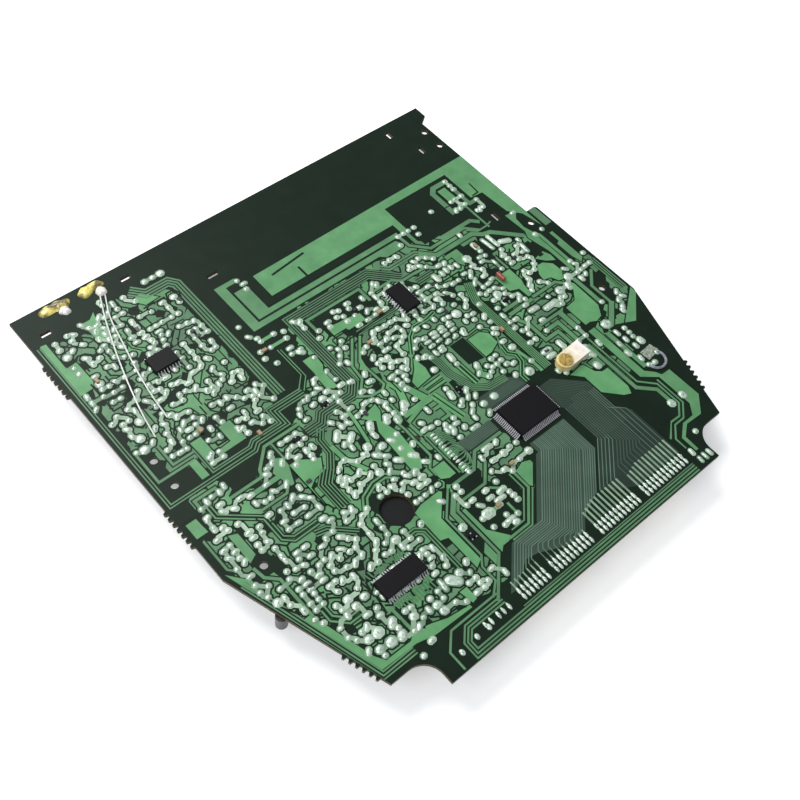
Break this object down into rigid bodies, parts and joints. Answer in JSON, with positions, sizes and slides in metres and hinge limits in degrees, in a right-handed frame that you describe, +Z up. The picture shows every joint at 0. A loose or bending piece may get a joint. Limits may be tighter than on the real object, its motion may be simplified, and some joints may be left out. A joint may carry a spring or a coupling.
{
  "type": "radio main board",
  "caption": "Square printed board of a car radio seen on its solder side, with flat chips, a trimmer, jumper wires and tall parts beneath that it rests on.",
  "frame": {"origin": "middle of the overall plan, on the surface that the board rests on", "axes": "+X to the right and +Y to the rear edge with the antenna socket, seen from above the solder side; +Z up"},
  "size_m": [0.2098, 0.2098, 0.0194],
  "materials": {
    "board": "dark green solder mask over brown paper laminate",
    "chip_plastic": "moulded epoxy, near black",
    "tinned_lead": "dull tin plating",
    "tinned_wire": "tinned copper wire gone grey",
    "chip_resistor": "black glazed top",
    "chip_capacitor": "bare tan ceramic",
    "diode_glass": "reddish glass over the die",
    "trimmer_ceramic": "ivory ceramic",
    "trimmer_rotor": "gold toned rotor",
    "solder": "bright solder",
    "glue": "yellow glue",
    "wire_cover": "thin pale insulation",
    "socket_metal": "tin plated sheet",
    "insulator": "ivory plastic",
    "contact_brass": "plated brass",
    "header_plastic": "ivory nylon",
    "socket_plastic": "black nylon",
    "sink_aluminium": "extruded, unpainted",
    "copper_tab": "plated copper tab",
    "can_sleeve": "dark sleeve",
    "edge_sleeve": "black sleeve",
    "ferrite": "sintered ferrite",
    "winding": "enamelled copper winding",
    "lamination": "varnished steel laminations",
    "winding_tape": "yellow winding tape",
    "coil_can": "tin plated can",
    "film_coat": "brown dipped coat",
    "filter_ceramic": "orange brown resin",
    "resistor_coat": "beige coat",
    "relay_case": "dark moulded case"
  },
  "bodies": {
    "root": {"amplifier_body": "chip_plastic", "amplifier_pins": "tinned_lead", "amplifier_tab": "copper_tab", "antenna_socket_contact": "contact_brass", "antenna_socket_insulator": "insulator", "antenna_socket_shell": "socket_metal", "audio_chip": "chip_plastic", "audio_chip_leads": "tinned_lead", "axial_resistors": "resistor_coat", "ceramic_filters": "filter_ceramic", "chip_capacitors": "chip_capacitor", "chip_resistors": "chip_resistor", "circuit_board": "board", "coil_cans": "coil_can", "coil_cores": "ferrite", "controller_chip": "chip_plastic", "controller_leads": "tinned_lead", "crystals": "coil_can", "decoder_chip": "chip_plastic", "decoder_chip_leads": "tinned_lead", "edge_electrolytic": "edge_sleeve", "film_capacitors": "film_coat", "filter_choke_core": "ferrite", "filter_choke_winding": "winding", "fixing_glue": "glue", "front_header_1": "header_plastic", "front_header_2": "header_plastic", "front_header_3": "header_plastic", "front_header_4": "header_plastic", "front_header_pins": "tinned_lead", "glass_diode": "diode_glass", "header_solder": "solder", "heat_sink": "sink_aluminium", "large_electrolytics": "can_sleeve", "left_jumper_wire": "wire_cover", "main_joints": "solder", "medium_electrolytics": "can_sleeve", "muting_relay": "relay_case", "power_socket": "socket_plastic", "power_socket_blades": "tinned_lead", "regulator_legs": "tinned_lead", "regulators": "chip_plastic", "ribbon_header": "header_plastic", "right_jumper_wire": "wire_cover", "side_header": "header_plastic", "small_electrolytics": "can_sleeve", "small_transistor_leads": "tinned_lead", "small_transistors": "chip_plastic", "supply_choke_core": "lamination", "supply_choke_winding": "winding_tape", "tab_solder": "solder", "trimmer_base": "trimmer_ceramic", "trimmer_rotor": "trimmer_rotor", "tuner_chip": "chip_plastic", "tuner_chip_leads": "tinned_lead", "wire_hook": "tinned_wire", "wire_links": "tinned_lead"}
  },
  "joints": []
}
